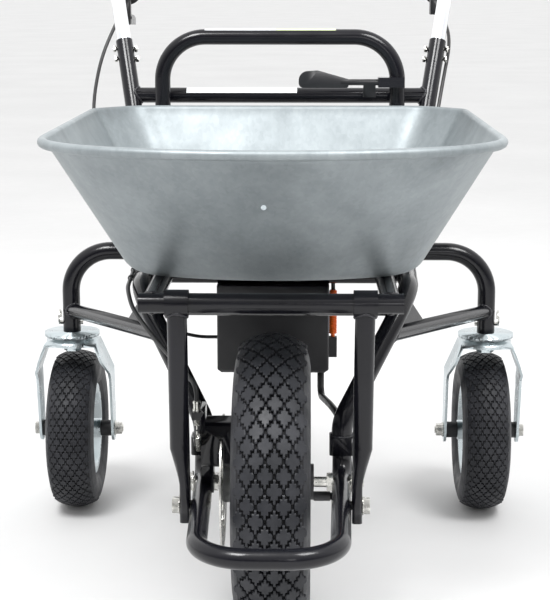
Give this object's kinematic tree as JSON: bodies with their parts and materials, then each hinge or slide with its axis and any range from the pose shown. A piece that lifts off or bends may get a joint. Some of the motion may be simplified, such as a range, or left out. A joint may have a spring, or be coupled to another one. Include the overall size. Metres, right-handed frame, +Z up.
{
  "type": "power wheelbarrow",
  "caption": "Battery-driven wheelbarrow with a driven front wheel, swivel rear casters and a flared steel tray that tips forward.",
  "frame": {"origin": "on the ground, under the middle of the overall box", "axes": "+Z up, the front (drive wheel and guard) faces -Y, the operator stands at +Y; +X is the operator's left"},
  "size_m": [0.804, 1.3254, 0.864],
  "materials": {
    "black_paint": "gloss black powder coat",
    "galvanised": "satin galvanised sheet",
    "zinc": "bright zinc plate",
    "bright_steel": "bright plated steel",
    "chrome": "polished chrome",
    "tyre": "black moulded tyre rubber",
    "rubber": "matt black rubber",
    "black_plastic": "fine-textured black plastic",
    "orange_plastic": "orange corrugated sleeve",
    "cable_black": "black cable jacket",
    "aluminium": "cast aluminium",
    "copper": "lacquered windings",
    "red_plastic": "red push button"
  },
  "bodies": {
    "frame": {"fork_loop": "black_paint", "side_rails": "black_paint", "rear_arch": "black_paint", "arch_braces": "black_paint", "arch_gussets": "black_paint", "front_struts": "black_paint", "frame_bolts": "bright_steel", "hinge_sleeves": "black_paint", "frame_cross_tubes": "black_paint", "handle_risers": "black_paint", "handle_crossbar": "black_paint", "handle_ends": "chrome", "grips": "rubber", "brake_perch": "black_plastic", "throttle_housing": "black_plastic", "battery_box": "black_plastic", "battery_lid": "black_plastic", "battery_pack": "black_plastic", "motor_controller": "aluminium", "battery_lead": "orange_plastic", "battery_connector": "black_plastic", "drive_axle": "bright_steel", "axle_nuts": "bright_steel", "motor_stator": "copper", "wheel_bearings": "bright_steel", "brake_caliper": "black_paint", "brake_pads": "black_plastic", "brake_cable": "cable_black", "throttle_cable": "cable_black", "motor_cable": "cable_black", "brake_switch_lead": "cable_black", "motor_gland": "black_plastic", "cable_ties": "black_plastic", "caster_top_plates": "zinc", "lynch_pins": "bright_steel", "tray_rests": "rubber"},
    "tray_body": {"tray": "galvanised", "hinge_tube": "black_paint", "tray_rails": "black_paint", "tip_hoop": "black_paint", "tray_bolts": "bright_steel"},
    "latch": {"latch_lever": "black_plastic"},
    "drive_wheel": {"drive_tyre": "tyre", "motor_shell": "aluminium", "motor_cover": "aluminium", "motor_magnets": "bright_steel", "brake_disc": "bright_steel", "disc_bolts": "bright_steel"},
    "caster_left": {"caster_yoke_left": "zinc", "caster_axle_left": "bright_steel"},
    "caster_right": {"caster_yoke_right": "zinc", "caster_axle_right": "bright_steel"},
    "caster_wheel_left": {"caster_rim_left": "zinc", "caster_tyre_left": "tyre"},
    "caster_wheel_right": {"caster_rim_right": "zinc", "caster_tyre_right": "tyre"},
    "brake_lever_body": {"brake_lever": "black_paint"},
    "caliper_arm_body": {"caliper_arm": "bright_steel"},
    "throttle_body": {"thumb_lever": "black_plastic"},
    "button_body": {"power_button": "red_plastic"}
  },
  "joints": [
    {"name": "drive_wheel_spin", "type": "hinge", "parent": "frame", "child": "drive_wheel", "pos_m": [0, -0.35, 0.2], "axis": [1, 0, 0], "continuous": true},
    {"name": "tray_tip", "type": "hinge", "parent": "frame", "child": "tray_body", "pos_m": [0, -0.45, 0.463], "axis": [1, 0, 0], "range_deg": [0, 80]},
    {"name": "latch_turn", "type": "hinge", "parent": "tray_body", "child": "latch", "pos_m": [0.15, 0.23, 0.694], "axis": [-1, 0, 0], "range_deg": [0, 35], "stiffness_Nm_per_rad": 0.25, "springref_deg": -17.19},
    {"name": "brake_lever_squeeze", "type": "hinge", "parent": "frame", "child": "brake_lever_body", "pos_m": [-0.27928, 0.5207, 0.79], "axis": [1, 0, 0], "range_deg": [0, 12], "stiffness_Nm_per_rad": 1.5, "springref_deg": -5.73},
    {"name": "caliper_arm_pull", "type": "hinge", "parent": "frame", "child": "caliper_arm_body", "pos_m": [-0.098, -0.385, 0.262], "axis": [-1, 0, 0], "range_deg": [0, 10], "stiffness_Nm_per_rad": 0.8, "springref_deg": -5.73},
    {"name": "throttle_push", "type": "hinge", "parent": "frame", "child": "throttle_body", "pos_m": [0.27928, 0.5187, 0.806], "axis": [0, 0, 1], "range_deg": [0, 22], "stiffness_Nm_per_rad": 0.1, "springref_deg": -5.73},
    {"name": "power_button_press", "type": "slide", "parent": "frame", "child": "button_body", "axis": [-1, 0, 0], "range_m": [0, 0.0015], "stiffness_N_per_m": 300, "springref_m": -0.0005},
    {"name": "caster_left_swivel", "type": "hinge", "parent": "frame", "child": "caster_left", "pos_m": [0.332, 0.12, 0.25], "axis": [0, 0, 1], "continuous": true},
    {"name": "caster_left_spin", "type": "hinge", "parent": "caster_left", "child": "caster_wheel_left", "pos_m": [0.332, 0.162, 0.13], "axis": [1, 0, 0], "continuous": true},
    {"name": "caster_right_swivel", "type": "hinge", "parent": "frame", "child": "caster_right", "pos_m": [-0.332, 0.12, 0.25], "axis": [0, 0, 1], "continuous": true},
    {"name": "caster_right_spin", "type": "hinge", "parent": "caster_right", "child": "caster_wheel_right", "pos_m": [-0.332, 0.162, 0.13], "axis": [1, 0, 0], "continuous": true}
  ],
  "couplings": [
    {"joint": "caliper_arm_pull", "follows": "brake_lever_squeeze", "ratio": 0.8}
  ]
}
